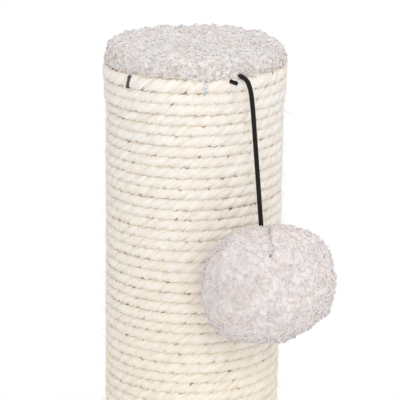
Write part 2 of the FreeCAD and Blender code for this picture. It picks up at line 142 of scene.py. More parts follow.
board_finish = finish_for("raw_fibreboard", (0.42, 0.29, 0.17), 0.8)
chips = noise(board_finish, own_place(board_finish, (1, 1, 3)), 900, 4)
feed(board_finish, colours_of(board_finish, chips, (0.3, (0.33, 0.22, 0.12)), (0.7, (0.5, 0.36, 0.22))),
     "Base Color")
relief(board_finish, chips, 0.0001)
wear("base_board", board_finish)


# Base cover: one square of curly plush, knitted backing with a pile of short curls. It is stretched over
# the board, folded round its edges and stapled below. The pile is worn flat on the folded hem.

def fresh(name):
    """Names the object that an operator has just made."""
    piece = bpy.context.object
    piece.name = piece.data.name = name
    return piece


def start():
    """Leaves edit mode, with nothing selected."""
    if bpy.context.object and bpy.context.object.mode == "EDIT":
        bpy.ops.object.mode_set(mode="OBJECT")
    bpy.ops.object.select_all(action="DESELECT")


def apply(piece, kind, **settings):
    """Adds a modifier and applies it at once."""
    bpy.context.view_layer.objects.active = piece
    modifier = piece.modifiers.new(kind.title(), kind)
    for setting, value in settings.items():
        setattr(modifier, setting, value)
    bpy.ops.object.modifier_apply(modifier=modifier.name)


def settle(piece):
    """Puts a piece's place into its mesh."""
    start()
    piece.select_set(True)
    bpy.context.view_layer.objects.active = piece
    bpy.ops.object.transform_apply(location=True, rotation=True, scale=True)


def points_of(piece):
    return np.array([v.co for v in piece.data.vertices])


def move_points(piece, points):
    piece.data.vertices.foreach_set("co", points.ravel())


def keep_places(piece, attribute):
    """Stores where each point lies now, so that a pattern follows the piece when it is bent."""
    kept = piece.data.attributes.new(attribute, "FLOAT_VECTOR", "POINT")
    kept.data.foreach_set("vector", points_of(piece).ravel().astype(np.float32))


def close_ends(sides):
    """Fills the open rings of the piece in edit mode, turns its faces outwards and leaves edit mode."""
    bpy.ops.mesh.select_all(action="DESELECT")
    bpy.ops.mesh.select_mode(type="EDGE")
    bpy.ops.mesh.select_non_manifold()
    bpy.ops.mesh.fill_holes(sides=sides)
    bpy.ops.mesh.select_all(action="SELECT")
    bpy.ops.mesh.normals_make_consistent(inside=False)
    bpy.ops.object.mode_set(mode="OBJECT")


def on_body(piece, body, slot, finish, *replaced):
    """Gives a new piece its material and its body, and hides the CAD nodes that it stands for. The slot is
    not used.
    """
    piece.data.materials.clear()
    piece.data.materials.append(finish)
    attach(piece, body)
    if replaced:
        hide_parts(*replaced)


def clouds(name, size):
    """Lumps of about that size, in metres, for a displacement."""
    texture = bpy.data.textures.new(name, "CLOUDS")
    texture.noise_scale = size
    texture.noise_depth = 2
    return texture


def plush_finish(name, light, deep):
    """Curly polyester pile: lighter and deeper in random tufts, browner or greyer in patches."""
    finish = finish_for(name, light, 0.95, Specular_IOR_Level=0.1, Sheen_Weight=0.2, Sheen_Roughness=0.6)
    place = own_place(finish)
    lightest = tuple(min(1, part * 1.05) for part in light)
    tufts = noise(finish, place, 420, 4, 0.6)
    pile = colours_of(finish, tufts, (0.34, deep), (0.52, light), (0.75, lightest))
    patches = noise(finish, place, 75, 2)
    brown, plain, grey = (1.0, 0.965, 0.935), (1, 1, 1), (0.965, 0.975, 0.99)
    cast = colours_of(finish, patches, (0.36, brown), (0.50, plain), (0.64, grey))
    tinted = mixed(finish, 1.0, pile, cast, "MULTIPLY")
    tinted.node.name = "pile_colour"
    feed(finish, tinted, "Base Color")
    relief(finish, noise(finish, place, 2600, 3), 0.00007)
    return finish


def make_curl(name, sides, wire, loop, turn, rise, steps):
    """One curl of pile, closed at both ends: a fine lock wound by turn radians round a loop."""
    start()
    bpy.ops.mesh.primitive_circle_add(vertices=sides, radius=wire, location=(loop, 0, 0),
                                      rotation=(math.pi / 2, 0, 0))
    curl = fresh(name)
    settle(curl)
    apply(curl, "SCREW", angle=turn, screw_offset=rise, steps=steps, render_steps=steps,
          use_smooth_shade=True)
    bpy.ops.object.mode_set(mode="EDIT")
    close_ends(8)
    return curl


def spots_on(piece, gap, seed, keep):
    """Points scattered over a piece where keep allows, no two nearer than gap, and the way out at each."""
    mesh = piece.data
    mesh.calc_loop_triangles()
    corners = np.array([[mesh.vertices[i].co for i in t.vertices] for t in mesh.loop_triangles])
    across = np.cross(corners[:, 1] - corners[:, 0], corners[:, 2] - corners[:, 0])
    size = np.linalg.norm(across, axis=1)
    pick = np.random.default_rng(seed)
    area = size.sum() / 2
    count = int(4 * area / gap ** 2)                    # far more than fit, so that no gaps stay open
    chosen = pick.choice(len(size), count, p=size / size.sum())
    u, v = pick.random((2, count))
    u, v = np.where(u + v > 1, 1 - u, u), np.where(u + v > 1, 1 - v, v)
    a, b, c = corners[chosen].transpose(1, 0, 2)
    points = a + (b - a) * u[:, None] + (c - a) * v[:, None]
    ways = across[chosen] / size[chosen][:, None]
    wanted = keep(points, ways)
    points, ways = points[wanted], ways[wanted]
    taken, spots = {}, []
    cells = np.floor(points / gap).astype(int)
    for i, (x, y, z) in enumerate(cells):
        near = [j for dx in (-1, 0, 1) for dy in (-1, 0, 1) for dz in (-1, 0, 1)
                for j in taken.get((x + dx, y + dy, z + dz), ())]
        if all(((points[i] - points[j]) ** 2).sum() > gap * gap for j in near):
            taken.setdefault((x, y, z), []).append(i)
            spots.append(i)
    return points[spots], ways[spots]


def sew_on(name, curls, spots, ways, seed, least, most, sink, lean=0.5):
    """Copies the curls onto the spots as one piece, each turned and sized by chance and set in by sink."""
    pick = np.random.default_rng(seed)
    shapes = [(points_of(curl), [tuple(face.vertices) for face in curl.data.polygons]) for curl in curls]
    places, faces, base = [], [], 0
    for spot, way in zip(spots, ways):
        points, rings = shapes[pick.integers(len(shapes))]
        up = way + lean * pick.normal(size=3) * 0.5
        up /= np.linalg.norm(up)
        side = np.cross(up, pick.normal(size=3))
        side /= np.linalg.norm(side)
        frame_of = np.stack([side, np.cross(up, side), up])
        places.append(points * pick.uniform(least, most) @ frame_of + spot - way * sink)
        faces += [tuple(i + base for i in ring) for ring in rings]
        base += len(points)
    mesh = bpy.data.meshes.new(name)
    mesh.from_pydata(np.concatenate(places).tolist(), [], faces)
    mesh.polygons.foreach_set("use_smooth", [True] * len(faces))
    pile = bpy.data.objects.new(name, mesh)
    bpy.context.scene.collection.objects.link(pile)
    return pile


def clear_away(*pieces):
    for piece in pieces:
        bpy.data.objects.remove(piece)


low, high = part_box("base_cover")
SIDE_ROOM, TOP_ROOM = 0.0008, 0.0004                    # left free for the pile's waves
start()
bpy.ops.mesh.primitive_cube_add(size=1, location=(0, 0, (low.z + high.z) / 2),
                                scale=(high.x - low.x - SIDE_ROOM, high.y - low.y - SIDE_ROOM,
                                       high.z - low.z - TOP_ROOM))
base_cover = fresh("base_plush")
settle(base_cover)


def pick_edges(piece, wanted):
    """Selects the edges for which wanted, given both ends, is true, and goes into edit mode."""
    bpy.ops.object.mode_set(mode="EDIT")
    bpy.ops.mesh.select_mode(type="EDGE")
    bpy.ops.mesh.select_all(action="DESELECT")
    bpy.ops.object.mode_set(mode="OBJECT")
    for edge in piece.data.edges:
        a, b = (piece.data.vertices[i].co for i in edge.vertices)
        edge.select = wanted(a, b)
    bpy.ops.object.mode_set(mode="EDIT")


COVER_CORNER, COVER_EDGE, HEM_END = 0.0272, 0.003, 0.115
pick_edges(base_cover, lambda a, b: abs(a.z - b.z) > 0.005)
bpy.ops.mesh.bevel(offset=COVER_CORNER, segments=10, profile=0.5)
pick_edges(base_cover, lambda a, b: abs(a.z - b.z) < 0.00001)
bpy.ops.mesh.bevel(offset=COVER_EDGE, segments=3, profile=0.5)
bpy.ops.object.mode_set(mode="OBJECT")
apply(base_cover, "REMESH", mode="VOXEL", voxel_size=0.003)
apply(base_cover, "DISPLACE", texture=clouds("plush_waves", 0.009), strength=0.0014, mid_level=0.6)
bpy.ops.object.mode_set(mode="EDIT")
bpy.ops.mesh.select_mode(type="FACE")
bpy.ops.mesh.select_all(action="DESELECT")
bpy.ops.object.mode_set(mode="OBJECT")
for face in base_cover.data.polygons:
    face.select = face.normal.z < -0.7 and max(abs(face.center.x), abs(face.center.y)) < HEM_END
bpy.ops.object.mode_set(mode="EDIT")
bpy.ops.mesh.delete(type="FACE")
bpy.ops.object.mode_set(mode="OBJECT")
apply(base_cover, "SOLIDIFY", thickness=0.0017, offset=-1)
bpy.ops.object.shade_smooth()

# The pile is modelled where it stands up: over the top and the sides, as short curls in four pieces.

base_finish = plush_finish("base_plush", (0.75, 0.695, 0.675), (0.68, 0.62, 0.59))
on_body(base_cover, "post", "base_plush", base_finish, "base_cover")

flat_curl = make_curl("flat_curl", sides=3, wire=0.00036, loop=0.0009, turn=4.6, rise=0.0010, steps=5)
top_z, side_x = high.z, high.x
POST_SIDE, HEM_HEIGHT = 0.0445, 0.003


def base_pile_place(points, ways):
    """Above the hem, and clear of the post."""
    clear = np.hypot(points[:, 0], points[:, 1]) > POST_SIDE
    outward = (ways * points).sum(axis=1) > 0
    not_below = ways[:, 2] > -0.35
    return not_below & clear & outward & (points[:, 2] > HEM_HEIGHT)


spots, ways = spots_on(base_cover, gap=0.0021, seed=5, keep=base_pile_place)
on_lining_side = (np.abs(spots[:, :2]).max(axis=1) < side_x - 0.006) & (spots[:, 2] < top_z - 0.0025)
spots, ways = spots[~on_lining_side], ways[~on_lining_side]
for k in range(4):
    chosen = (spots[:, 0] * spots[:, 1] < 0) == (k % 2 == 0)
    chosen &= (spots[:, 1] < 0) == (k < 2)
    pile = sew_on("base_curls_" + str(k + 1), [flat_curl], spots[chosen], ways[chosen], seed=6 + k, least=0.9,
                  most=1.5, sink=0.0004)
    on_body(pile, "post", "base_plush", base_finish)


# Base lining and hem staples: a sheet of grey needled felt, glued over the folded hem, with a hole for the
# key. The staples are zinc-coated steel wire, driven through the hem into the board.

low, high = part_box("base_lining")
start()
bpy.ops.mesh.primitive_cube_add(size=1, location=(0, 0, (low.z + high.z) / 2),
                                scale=(high.x - low.x, high.y - low.y, high.z - low.z))
lining = fresh("base_felt")
settle(lining)
LINING_CORNER, KEY_HOLE_RADIUS = 0.017, 0.015
pick_edges(lining, lambda a, b: abs(a.z - b.z) > 0.0004)
bpy.ops.mesh.bevel(offset=LINING_CORNER, segments=8, profile=0.5)
start()
bpy.ops.mesh.primitive_cylinder_add(vertices=64, radius=KEY_HOLE_RADIUS, depth=0.01)
key_hole = fresh("key_hole")
apply(lining, "BOOLEAN", object=key_hole, operation="DIFFERENCE")
clear_away(key_hole)
apply(lining, "BEVEL", width=0.0002, segments=2)
felt_finish = finish_for("needled_felt", (0.30, 0.29, 0.28), 0.95, Sheen_Weight=0.2)
hairs = noise(felt_finish, own_place(felt_finish), 1500, 5, 0.7)
feed(felt_finish, colours_of(felt_finish, hairs, (0.35, (0.24, 0.23, 0.22)), (0.65, (0.38, 0.37, 0.36))),
     "Base Color")
relief(felt_finish, hairs, 0.0002)
on_body(lining, "post", "felt", felt_finish, "base_lining")

staple_finish = finish_for("zinc_coated_wire", (0.42, 0.43, 0.46), 0.35, Metallic=1.0)
wire_place = own_place(staple_finish)
sideways = put(staple_finish, "SeparateXYZ", {"Vector": wire_place}).outputs["X"]
painted_shade_falloff = between(staple_finish, sideways, -0.026, -0.006)    # painted shade: dark at the left, mottled further right
mottle_and_painted_shade = times(staple_finish, noise(staple_finish, wire_place, 900, 3), painted_shade_falloff)
feed(staple_finish, colours_of(staple_finish, mottle_and_painted_shade, (0.25, (0.11, 0.115, 0.13)),
                               (0.45, (0.60, 0.60, 0.61)), (0.6, (0.80, 0.80, 0.80))), "Base Color")
drawn = noise(staple_finish, own_place(staple_finish, (3000, 3000, 400)), 1, 2)
relief(staple_finish, drawn, 0.00002)
for node in ("base_cover_staples", "top_plug_staples", "bottom_plug_staples", "rope_top_staples",
             "rope_bottom_staples"):
    wear(node, staple_finish)


# Post bolt, washer and tee nut: zinc-plated steel. The bolt goes up through the base into the tee nut, whose
# prongs are driven into the post's bottom plug.

zinc_finish = finish_for("bright_zinc", (0.72, 0.73, 0.74), 0.28, Metallic=1.0)
bloom = noise(zinc_finish, own_place(zinc_finish), 260, 4)
feed(zinc_finish, colours_of(zinc_finish, bloom, (0.3, (0.62, 0.63, 0.66)), (0.7, (0.78, 0.78, 0.77))),
     "Base Color")
dullness = put(zinc_finish, "MapRange", {"Value": bloom, "To Min": 0.2, "To Max": 0.42}).outputs["Result"]
feed(zinc_finish, dullness, "Roughness")
for node in ("post_bolt", "bolt_washer", "tee_nut"):
    wear(node, zinc_finish)


# Tube and plugs: a spirally wound paperboard tube with a fibreboard disc pressed into each end and stapled
# through the wall. Rope, plush and base hide all of them.

tube_finish = finish_for("wound_paperboard", (0.36, 0.26, 0.17), 0.85)
mottle = noise(tube_finish, own_place(tube_finish), 180, 5, 0.7)
feed(tube_finish, colours_of(tube_finish, mottle, (0.3, (0.30, 0.21, 0.13)), (0.7, (0.43, 0.32, 0.21))),
     "Base Color")
relief(tube_finish, mottle, 0.0001)
wear("post_tube", tube_finish)
for node in ("top_plug", "bottom_plug"):
    wear(node, board_finish)


# Rope winding: bleached sisal rope of three strands, wound on tightly from the base to the top edge and
# stapled at both ends. It climbs to the right, and its strands slant up to the right across each turn.

ROPE_PITCH, LAY = 0.00535, 0.0215                       # from turn to turn, and for one twist of the strands
rope_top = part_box("rope_winding")[1].z - 0.00245        # the rope's middle, at its upper end
tube_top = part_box("post_tube")[1].z
rope_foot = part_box("post_tube")[0].z + 0.0028           # the rope's middle, at its lower end
turns = round((rope_top - rope_foot) / ROPE_PITCH + 0.125) - 0.125      # so that the lower end is at the back
SEEN_TURNS = 24                                         # the turns below them share the rest of the height
lower_pitch = (rope_top - rope_foot - SEEN_TURNS * ROPE_PITCH) / (turns - SEEN_TURNS)


def read_line(name, way):
    """A curve's object, and the points that its line runs through."""
    line = bpy.data.objects.new(name, way)
    bpy.context.scene.collection.objects.link(line)
    bpy.context.view_layer.update()
    read = bpy.data.meshes.new_from_object(line.evaluated_get(bpy.context.evaluated_depsgraph_get()))
    points = np.array([v.co for v in read.vertices])
    bpy.data.meshes.remove(read)
    return line, points


def uneven(turn, seed, size):
    """A slow, smooth wander along the winding, that neighbouring turns partly share."""
    waves = np.random.default_rng(seed).uniform(0, 2 * math.pi, 4)
    around = turn * 2 * math.pi
    return size * (math.sin(around * 0.13 + waves[0]) + math.sin(around * 0.37 + waves[1])
                   + 0.8 * math.sin(around * 1.07 + waves[2]) + 0.5 * math.sin(around * 2.61 + waves[3])) / 2


winding_way = bpy.data.curves.new("winding_way", "CURVE")
winding_way.dimensions = "3D"
winding_way.twist_mode = "Z_UP"
run = winding_way.splines.new("POLY")
STEPS = 48                                              # points in a turn
UPPER_END = math.radians(30)                            # where the rope ends, seen from above
ON_TUBE, SKIRT = 0.04252, 0.0012                        # rope's middle on the tube, and the skirt under it
count = int(turns * STEPS)
run.points.add(count)
for i, point in enumerate(run.points):
    down = (count - i) / STEPS                          # turns below the upper end
    angle = UPPER_END - 2 * math.pi * down
    over_skirt = min(1, max(0, (3.0 - down) / 0.5))     # the top three turns hold the cap's tucked edge
    radius = ON_TUBE + SKIRT * over_skirt + uneven(down, seed=1, size=0.00012)
    broad = max(0, math.sin(math.pi * min(1, max(0, (down - 0.05) / 0.9))))     # the top turn is the broadest
    thick = 1 + uneven(down, seed=3, size=0.05) + 0.20 * broad
    radius -= 0.0003 * broad
    z = rope_top - min(down, SEEN_TURNS) * ROPE_PITCH - max(0, down - SEEN_TURNS) * lower_pitch
    z += uneven(down, seed=2, size=0.00018) + 0.0007 * broad
    point.co = (radius * math.cos(angle), radius * math.sin(angle), z, 1)
    point.radius = thick
winding_line, dots = read_line("winding_line", winding_way)
rope_length = float(np.linalg.norm(np.diff(dots, axis=0), axis=1).sum())

# The sisal is paler on its strands; shade is painted warm in the hollows and brown in spots in the deepest.
# Fibres run along each strand, by a place that every point keeps from before the rope was twisted.

sisal_finish = finish_for("bleached_sisal", (0.85, 0.79, 0.71), 0.6, Sheen_Weight=0.15,
                          Specular_IOR_Level=0.3)
fibre = noise(sisal_finish, own_place(sisal_finish, (90, 3600, 3600), "along_strand"), 1, 3, 0.6)
bundle = noise(sisal_finish, own_place(sisal_finish, (30, 500, 500), "along_strand"), 1, 3, 0.6)
streak = put(sisal_finish, "Math", {0: fibre, 1: bundle}, operation="ADD").outputs[0]
pale = colours_of(sisal_finish, times(sisal_finish, streak, 0.5), (0.36, (0.82, 0.73, 0.60)),
                  (0.46, (0.87, 0.81, 0.72)), (0.60, (0.92, 0.88, 0.83)))
deep = put(sisal_finish, "Attribute", attribute_name="seam_depth").outputs["Fac"]
shade_break_noise = noise(sisal_finish, own_place(sisal_finish, (140, 140, 140), "along_strand"), 1, 2)
# painted shade: a warmer colour the deeper a point lies in the hollows between the strands
hollow_painted_shade = mixed(sisal_finish, between(sisal_finish, deep, 0.0004, 0.0014), pale, (0.93, 0.81, 0.64, 1))
deepest = between(sisal_finish, deep, 0.0007, 0.0011)
# painted shade: dark brown dashes in the deepest hollows, broken up by noise
painted_dark_shade = times(sisal_finish, deepest, between(sisal_finish, shade_break_noise, 0.52, 0.58))
tone_with_painted_shade = mixed(sisal_finish, painted_dark_shade, hollow_painted_shade, (0.36, 0.22, 0.11, 1))
high_up = put(sisal_finish, "SeparateXYZ", {"Vector": own_place(sisal_finish)}).outputs["Z"]
lower_down = between(sisal_finish, high_up, 0.36, 0.20)             # where the rope is yellower
yellower_below = mixed(sisal_finish, lower_down, (1, 1, 1, 1), (1, 0.965, 0.89, 1))
feed(sisal_finish, mixed(sisal_finish, 1.0, tone_with_painted_shade, yellower_below, "MULTIPLY"), "Base Color")
relief(sisal_finish, streak, 0.00030)

STRAND, OFF_CENTRE = 0.0021, 0.00068                    # a strand's radius, and how far out it lies
SQUARE = 3.8                                            # how nearly square the wound rope is pressed
NARROWER, TALLER, HALF_HEIGHT = 0.95, 1.25, 0.00296     # across, up and down, and at most up and down
OUTSIDE = 0.0026                                        # from the rope's middle to its outer face
RING_STEP = 0.00235                                     # between the rings of points along it


def twisted_rope(name, begin, end):
    """A straight length of three-strand rope along X, with its place in the untwisted strands kept."""
    steps = int((end - begin) / RING_STEP)
    start()
    strands = []
    for k in range(3):
        about = 2 * math.pi * k / 3
        bpy.ops.mesh.primitive_circle_add(vertices=12, radius=STRAND, rotation=(0, math.pi / 2, 0),
                                          location=(begin, OFF_CENTRE * math.cos(about),
                                                    OFF_CENTRE * math.sin(about)))
        strands.append(bpy.context.object)
    for strand in strands:
        strand.select_set(True)
    bpy.ops.object.join()
    rope = fresh(name)
    settle(rope)
    apply(rope, "SCREW", axis="X", angle=0, screw_offset=end - begin, steps=steps, render_steps=steps,
          use_smooth_shade=True, use_normal_calculate=True)
    bpy.ops.object.mode_set(mode="EDIT")
    close_ends(12)
    keep_places(rope, "along_strand")
    points = points_of(rope)
    turned_by = -2 * math.pi * points[:, 0] / LAY
    across, up = points[:, 1].copy(), points[:, 2].copy()
    points[:, 1] = across * np.cos(turned_by) - up * np.sin(turned_by)
    points[:, 2] = across * np.sin(turned_by) + up * np.cos(turned_by)
    about = np.arctan2(points[:, 2], points[:, 1])
    fuller = (np.abs(np.cos(about)) ** SQUARE + np.abs(np.sin(about)) ** SQUARE) ** (-1 / SQUARE)
    points[:, 1] *= NARROWER * fuller
    points[:, 2] = np.clip(points[:, 2] * TALLER * fuller, -HALF_HEIGHT, HALF_HEIGHT)
    depth = rope.data.attributes.new("seam_depth", "FLOAT", "POINT")
    depth.data.foreach_set("value", (OUTSIDE - np.abs(points[:, 1])).astype(np.float32))
    move_points(rope, points)
    return rope


ROPE_PIECES = 4
for k in range(ROPE_PIECES):
    name = "sisal_rope_" + str(k + 1)
    rope = twisted_rope(name, rope_length * k / ROPE_PIECES, rope_length * (k + 1) / ROPE_PIECES)
    apply(rope, "CURVE", object=winding_line, deform_axis="POS_X")
    replaced = ("rope_winding", "rope_lower_winding") if k == ROPE_PIECES - 1 else ()
    on_body(rope, "post", "sisal", sisal_finish, *replaced)
clear_away(winding_line)


# Loose sisal fibres: thin ends that have worked out of the strands and stand off the winding, all round and
# over its whole height. Three shapes, copied by chance.

def bent_fibre(name, length, curve):
    """One fibre that thins to its tip, bent by curve radians."""
    start()
    bpy.ops.mesh.primitive_cone_add(vertices=3, radius1=0.00009, radius2=0.00002, depth=length,
                                    location=(0, 0, length / 2))
    fibre = fresh(name)
    settle(fibre)
    pick_edges(fibre, lambda a, b: abs(a.z - b.z) > length / 2)
    bpy.ops.mesh.subdivide(number_cuts=3)
    bpy.ops.object.mode_set(mode="OBJECT")
    apply(fibre, "SIMPLE_DEFORM", deform_method="BEND", deform_axis="X", angle=curve)
    return fibre


fibres = [bent_fibre("long_fibre", length=0.0060, curve=0.9),
          bent_fibre("middle_fibre", length=0.0048, curve=-1.3),
          bent_fibre("short_fibre", length=0.0036, curve=1.8)]
pick = np.random.default_rng(31)
FIBRES, ROPE_FACE = 3600, 0.0450                        # how many, and their distance from the post's axis
around = pick.uniform(0, 2 * math.pi, FIBRES)
heights = pick.uniform(rope_foot, rope_top, FIBRES)
spots = np.stack([ROPE_FACE * np.cos(around), ROPE_FACE * np.sin(around), heights], axis=1)
tangent = np.stack([-np.sin(around), np.cos(around), np.full(FIBRES, 0.3)], axis=1)
tangent *= pick.choice([-1, 1], FIBRES)[:, None]
ways = spots * [1, 1, 0] / ROPE_FACE * pick.uniform(0.1, 1.0, FIBRES)[:, None] + tangent
ways /= np.linalg.norm(ways, axis=1)[:, None]
loose_fibres = sew_on("sisal_loose_fibres", fibres, spots, ways, seed=32, least=0.6, most=1.2, sink=0.0002,
                      lean=0.3)
loose_finish = finish_for("loose_sisal", (0.90, 0.85, 0.77), 0.6)
tint = noise(loose_finish, own_place(loose_finish), 300, 2)
feed(loose_finish, colours_of(loose_finish, tint, (0.35, (0.82, 0.73, 0.60)), (0.6, (0.93, 0.89, 0.83))),
     "Base Color")
on_body(loose_fibres, "post", "sisal", loose_finish)
clear_away(*fibres)


# Top pad and plush cap: a disc of polyester wadding on the tube's end, and a round of curly plush drawn over
# it, its edge tucked between tube and rope. It bulges out nearly to the rope's face.

def lathe(name, outline, steps):
    """Turns an outline of (radius, height) points round the post's axis."""
    start()
    mesh = bpy.data.meshes.new(name)
    mesh.from_pydata([(r, 0, z) for r, z in outline], [(i, i + 1) for i in range(len(outline) - 1)], [])
    piece = bpy.data.objects.new(name, mesh)
    bpy.context.scene.collection.objects.link(piece)
    piece.select_set(True)
    bpy.context.view_layer.objects.active = piece
    bpy.ops.object.mode_set(mode="EDIT")
    bpy.ops.mesh.select_all(action="SELECT")
    bpy.ops.mesh.spin(steps=steps, angle=2 * math.pi, center=(0, 0, 0), axis=(0, 0, 1))
    bpy.ops.mesh.select_all(action="SELECT")
    bpy.ops.mesh.remove_doubles(threshold=0.00001)
    bpy.ops.mesh.normals_make_consistent(inside=False)
    bpy.ops.object.mode_set(mode="OBJECT")
    return piece


wadding_finish = finish_for("polyester_wadding", (0.85, 0.85, 0.84), 0.95, Sheen_Weight=0.3)
wisps = noise(wadding_finish, own_place(wadding_finish), 700, 5, 0.7)
feed(wadding_finish, colours_of(wadding_finish, wisps, (0.3, (0.74, 0.74, 0.73)), (0.7, (0.90, 0.90, 0.89))),
     "Base Color")
relief(wadding_finish, wisps, 0.0004)
pad_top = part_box("top_pad")[1].z
pad_outline = [(0, tube_top + 0.0004), (0.0385, tube_top + 0.0004), (0.0400, tube_top + 0.0030),
               (0.0385, pad_top - 0.0016), (0.0340, pad_top - 0.0010), (0, pad_top - 0.0006)]
wadding = lathe("pad_wadding", pad_outline, steps=48)
apply(wadding, "REMESH", mode="VOXEL", voxel_size=0.0016)
apply(wadding, "DISPLACE", texture=clouds("wadding_lumps", 0.006), strength=0.0012, mid_level=0.9)
bpy.ops.object.shade_smooth()
on_body(wadding, "post", "filling", wadding_finish, "top_pad")

cap_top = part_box("top_cover")[1].z
cap_foot = tube_top + 0.0016
TUCK_FACE = 0.0412                                      # the tucked edge's outside, from the post's axis
OVER_TOP = [(0, cap_top + 0.0012), (0.020, cap_top + 0.0011), (0.033, cap_top + 0.0009),
            (0.0402, cap_top + 0.0002), (0.0434, cap_top - 0.0020), (0.0448, cap_foot + 0.0034),
            (0.0449, cap_foot - 0.0004)]
TUCKED_IN = [(0.0420, cap_foot - 0.0026), (TUCK_FACE, tube_top - 0.0110)]
BACK_INSIDE = [(0.0403, tube_top - 0.0110), (0.0403, tube_top + 0.0020), (0.0405, cap_foot + 0.0035),
               (0.0380, cap_top - 0.0052), (0.0310, cap_top - 0.0036), (0, cap_top - 0.0028)]
cap = lathe("cap_plush", OVER_TOP + TUCKED_IN + BACK_INSIDE, steps=96)
apply(cap, "REMESH", mode="VOXEL", voxel_size=0.0008)
apply(cap, "DISPLACE", texture=clouds("cap_lumps", 0.007), strength=0.0042, mid_level=0.5)
apply(cap, "DISPLACE", texture=clouds("cap_tufts", 0.0026), strength=0.0016, mid_level=0.5)
bpy.ops.object.shade_smooth()
plush = plush_finish("curly_plush", (0.765, 0.71, 0.69), (0.755, 0.695, 0.675))
cap_finish = plush_finish("cap_plush", (0.78, 0.745, 0.73), (0.77, 0.73, 0.715))

# Low on the cap the pile has brown specks.
cap_place = own_place(cap_finish)
height = put(cap_finish, "SeparateXYZ", {"Vector": cap_place}).outputs["Z"]
low_down = between(cap_finish, height, cap_foot + 0.0115, cap_foot + 0.0045)
specks = between(cap_finish, noise(cap_finish, cap_place, 700, 3, 0.6), 0.48, 0.60)
faint = times(cap_finish, times(cap_finish, low_down, specks), 0.60)
pile_colour = cap_finish.node_tree.nodes["pile_colour"].outputs[2]
feed(cap_finish, mixed(cap_finish, faint, pile_colour, (0.50, 0.38, 0.30, 1)), "Base Color")
on_body(cap, "post", "plush", cap_finish, "top_cover")

curls = [make_curl("tight_curl", sides=4, wire=0.00034, loop=0.0008, turn=5.4, rise=0.0010, steps=8),
         make_curl("open_curl", sides=4, wire=0.00032, loop=0.0010, turn=4.6, rise=0.0013, steps=8),
         make_curl("small_curl", sides=4, wire=0.00030, loop=0.0006, turn=6.6, rise=0.0009, steps=9)]


def cap_pile_place(points, ways):
    """On the cap's outside, above the rope."""
    outward = (ways * (points - np.array([0, 0, tube_top - 0.02]))).sum(axis=1) > 0
    above_rope = points[:, 2] > cap_foot - 0.0004
    beyond_tuck = np.hypot(points[:, 0], points[:, 1]) > TUCK_FACE
    return outward & above_rope & ((ways[:, 2] > 0.3) | beyond_tuck)


spots, ways = spots_on(cap, gap=0.00125, seed=11, keep=cap_pile_place)
in_front = spots[:, 1] < 0
for name, chosen in (("cap_curls_front", in_front), ("cap_curls_back", ~in_front)):
    pile = sew_on(name, curls, spots[chosen], ways[chosen], seed=12, least=0.75, most=1.3, sink=0.0006)
    on_body(pile, "post", "plush", cap_finish)


# Elastic cord: black round elastic, braided over rubber. Its upper end is knotted behind the plush, and a
# short tail sticks out beside the exit. It hangs over the rope's edge into the ball and is knotted there too.

CORD = 0.0023
cord_points = ((0.02153, -0.03883, 0.39270), (0.02453, -0.04426, 0.39300), (0.02686, -0.04845, 0.38880),
               (0.02807, -0.05064, 0.38010), (0.02885, -0.05205, 0.37120), (0.03335, -0.06017, 0.31985))
cord_way = bpy.data.curves.new("cord_way", "CURVE")
cord_way.dimensions = "3D"
cord_way.resolution_u = 24
line = cord_way.splines.new("NURBS")
line.points.add(len(cord_points) - 1)
for point, place in zip(line.points, cord_points):
    point.co = (*place, 1)
line.order_u = 3
line.use_endpoint_u = True
cord_line, dots = read_line("cord_line", cord_way)
cord_path = [tuple(dot) for dot in dots]
cord_length = sum(math.dist(a, b) for a, b in zip(cord_path, cord_path[1:]))

elastic_finish = finish_for("braided_elastic", (0.010, 0.0095, 0.009), 0.75, Specular_IOR_Level=0.15)
braid_place = own_place(elastic_finish, attribute="along_cord")
braid = put(elastic_finish, "TexWave", {"Vector": braid_place, "Scale": 420.0, "Distortion": 2.0,
                                        "Detail": 1.0}, bands_direction="DIAGONAL").outputs["Fac"]
feed(elastic_finish, colours_of(elastic_finish, braid, (0.2, (0.006, 0.0055, 0.0055)),
                                (0.9, (0.019, 0.018, 0.0175))), "Base Color")
relief(elastic_finish, braid, 0.00008)


def straight_elastic(name, length):
    """A straight piece of the elastic along X from the origin, round at both ends."""
    start()
    bpy.ops.mesh.primitive_cylinder_add(vertices=20, radius=CORD / 2, depth=length,
                                        rotation=(0, math.pi / 2, 0), location=(length / 2, 0, 0))
    piece = fresh(name)
    settle(piece)
    pick_edges(piece, lambda a, b: abs(a.x - b.x) < 0.00001)
    bpy.ops.mesh.bevel(offset=0.0003, segments=2)
    pick_edges(piece, lambda a, b: abs(a.x - b.x) > 0.001)
    bpy.ops.mesh.subdivide(number_cuts=max(3, int(length / 0.0006)))
    bpy.ops.object.mode_set(mode="OBJECT")
    bpy.ops.object.shade_smooth()
    keep_places(piece, "along_cord")
    return piece


cord = straight_elastic("toy_elastic", cord_length)
apply(cord, "CURVE", object=cord_line, deform_axis="POS_X")
clear_away(cord_line)


def elastic_knot(name, node):
    """A tight overhand knot: the elastic wound once round itself."""
    low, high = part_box(node)
    middle, reach = (low + high) / 2, (high.x - low.x) / 2
    start()
    bpy.ops.mesh.primitive_torus_add(major_radius=reach * 0.55, minor_radius=CORD * 0.40, major_segments=24,
                                     minor_segments=10, location=middle, rotation=(0.6, 0.4, 0))
    ring = fresh(name)
    bpy.ops.mesh.primitive_torus_add(major_radius=reach * 0.50, minor_radius=CORD * 0.38, major_segments=24,
                                     minor_segments=10, location=middle, rotation=(1.9, 0.2, 0.5))
    ring.select_set(True)
    bpy.context.view_layer.objects.active = ring
    bpy.ops.object.join()
    settle(ring)
    bpy.ops.object.shade_smooth()
    keep_places(ring, "along_cord")
    return ring


